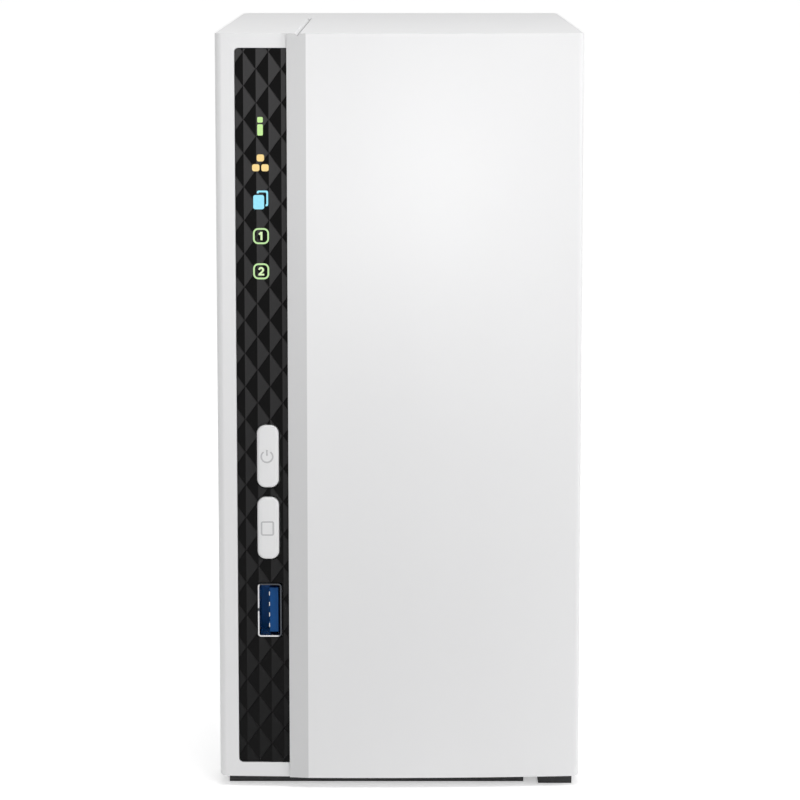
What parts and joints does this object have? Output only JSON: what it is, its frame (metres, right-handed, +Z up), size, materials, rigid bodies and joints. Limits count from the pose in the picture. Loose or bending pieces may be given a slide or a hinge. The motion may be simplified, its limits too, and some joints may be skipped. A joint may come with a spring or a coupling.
{
  "type": "network attached storage",
  "caption": "Upright desktop storage box with a bowed white front panel, a dark patterned control strip on the left, a removable cover, drive bays and a rear fan.",
  "frame": {"origin": "centre of the footprint, on the surface the feet stand on", "axes": "+Z up, the front faces -Y, +X to the right as seen from the front"},
  "size_m": [0.0902, 0.1562, 0.1886],
  "materials": {
    "white_plastic": "satin",
    "white_panel": "satin paint",
    "strip_black": "gloss",
    "foot_rubber": "matte",
    "button_grey": "satin",
    "guide_green": "clear, lit",
    "guide_amber": "clear, lit",
    "guide_cyan": "clear, lit",
    "led_body": "matte",
    "black_plastic": "matte",
    "plunger_grey": "matte",
    "plated_shell": "plated",
    "usb_blue": "satin",
    "gold_contact": "polished",
    "board_green": "solder mask",
    "chip_black": "matte",
    "pad_grey": "soft",
    "sink_aluminium": "satin",
    "can_aluminium": "satin",
    "ferrite_grey": "matte",
    "cell_steel": "brushed",
    "ivory_plastic": "matte",
    "lead_sleeve": "matte",
    "cage_steel": "galvanised",
    "tray_black": "satin",
    "drive_cast": "cast",
    "drive_lid": "satin",
    "platter": "polished",
    "fan_black": "satin",
    "copper": "wound",
    "screw_steel": "plated"
  },
  "bodies": {
    "chassis": {"chassis_shell": "white_plastic", "rear_panel": "white_panel", "front_strip": "strip_black", "foot_bars": "foot_rubber", "status_light_guide": "guide_green", "lan_light_guide": "guide_amber", "usb_light_guide": "guide_cyan", "disk_light_guides": "guide_green", "indicator_leds": "led_body", "tact_switches": "black_plastic", "front_usb_shell": "plated_shell", "front_usb_tongue": "usb_blue", "front_usb_contacts": "gold_contact", "mainboard": "board_green", "processor": "chip_black", "thermal_pad": "pad_grey", "heat_sink": "sink_aluminium", "board_chips": "chip_black", "capacitors": "can_aluminium", "inductors": "ferrite_grey", "coin_cell_holder": "black_plastic", "coin_cell": "cell_steel", "buzzer": "black_plastic", "fan_header": "ivory_plastic", "fan_plug": "ivory_plastic", "fan_lead": "lead_sleeve", "lan_jack_shell": "plated_shell", "lan_jack_insert": "black_plastic", "rear_usb_shells": "plated_shell", "rear_usb_tongues": "black_plastic", "dc_jack": "black_plastic", "backplane_board": "board_green", "board_connector": "black_plastic", "sata_connectors": "black_plastic", "drive_cage": "cage_steel", "drive_tray_1": "tray_black", "drive_tray_2": "tray_black", "hard_drive_1": "drive_cast", "hard_drive_2": "drive_cast", "drive_lids": "drive_lid", "drive_boards": "board_green", "fan_frame": "black_plastic", "fan_stator": "copper", "case_screws": "screw_steel", "fan_screws": "screw_steel", "board_screws": "screw_steel", "cage_screws": "screw_steel", "drive_screws": "screw_steel"},
    "cover": {"case_cover": "white_plastic", "cover_foot": "foot_rubber"},
    "power_button": {"power_button": "button_grey"},
    "copy_button": {"copy_button": "button_grey"},
    "power_plunger": {"power_switch_plunger": "plunger_grey"},
    "copy_plunger": {"copy_switch_plunger": "plunger_grey"},
    "reset_plunger": {"reset_plunger": "plunger_grey"},
    "fan_rotor": {"fan_rotor": "fan_black"},
    "disks_1": {"drive_1_platters": "platter"},
    "disks_2": {"drive_2_platters": "platter"},
    "heads_1": {"drive_1_head_arms": "sink_aluminium"},
    "heads_2": {"drive_2_head_arms": "sink_aluminium"}
  },
  "joints": [
    {"name": "cover_slide", "type": "slide", "parent": "chassis", "child": "cover", "axis": [0, -1, 0], "range_m": [0, 0.15]},
    {"name": "power_press", "type": "slide", "parent": "chassis", "child": "power_button", "axis": [0, 1, 0], "range_m": [0, 0.0008], "stiffness_N_per_m": 1500, "springref_m": -0.0005},
    {"name": "power_switch_press", "type": "slide", "parent": "chassis", "child": "power_plunger", "axis": [0, 1, 0], "range_m": [0, 0.00025]},
    {"name": "copy_press", "type": "slide", "parent": "chassis", "child": "copy_button", "axis": [0, 1, 0], "range_m": [0, 0.0008], "stiffness_N_per_m": 1500, "springref_m": -0.0005},
    {"name": "copy_switch_press", "type": "slide", "parent": "chassis", "child": "copy_plunger", "axis": [0, 1, 0], "range_m": [0, 0.00025]},
    {"name": "reset_press", "type": "slide", "parent": "chassis", "child": "reset_plunger", "axis": [0, -1, 0], "range_m": [0, 0.0003], "stiffness_N_per_m": 1500, "springref_m": -0.0005},
    {"name": "fan_spin", "type": "hinge", "parent": "chassis", "child": "fan_rotor", "pos_m": [0.009, 0.06137, 0.118], "axis": [0, 1, 0], "continuous": true},
    {"name": "disks_1_spin", "type": "hinge", "parent": "chassis", "child": "disks_1", "pos_m": [-0.0046, -0.02053, 0.109], "axis": [1, 0, 0], "continuous": true},
    {"name": "disks_2_spin", "type": "hinge", "parent": "chassis", "child": "disks_2", "pos_m": [0.0262, -0.02053, 0.109], "axis": [1, 0, 0], "continuous": true},
    {"name": "heads_1_swing", "type": "hinge", "parent": "chassis", "child": "heads_1", "pos_m": [-0.0046, -0.05013, 0.048], "axis": [1, 0, 0], "range_deg": [0, 25]},
    {"name": "heads_2_swing", "type": "hinge", "parent": "chassis", "child": "heads_2", "pos_m": [0.0262, -0.05013, 0.048], "axis": [1, 0, 0], "range_deg": [0, 25]}
  ],
  "couplings": [
    {"joint": "power_switch_press", "follows": "power_press", "ratio": 0.3125},
    {"joint": "copy_switch_press", "follows": "copy_press", "ratio": 0.3125}
  ]
}
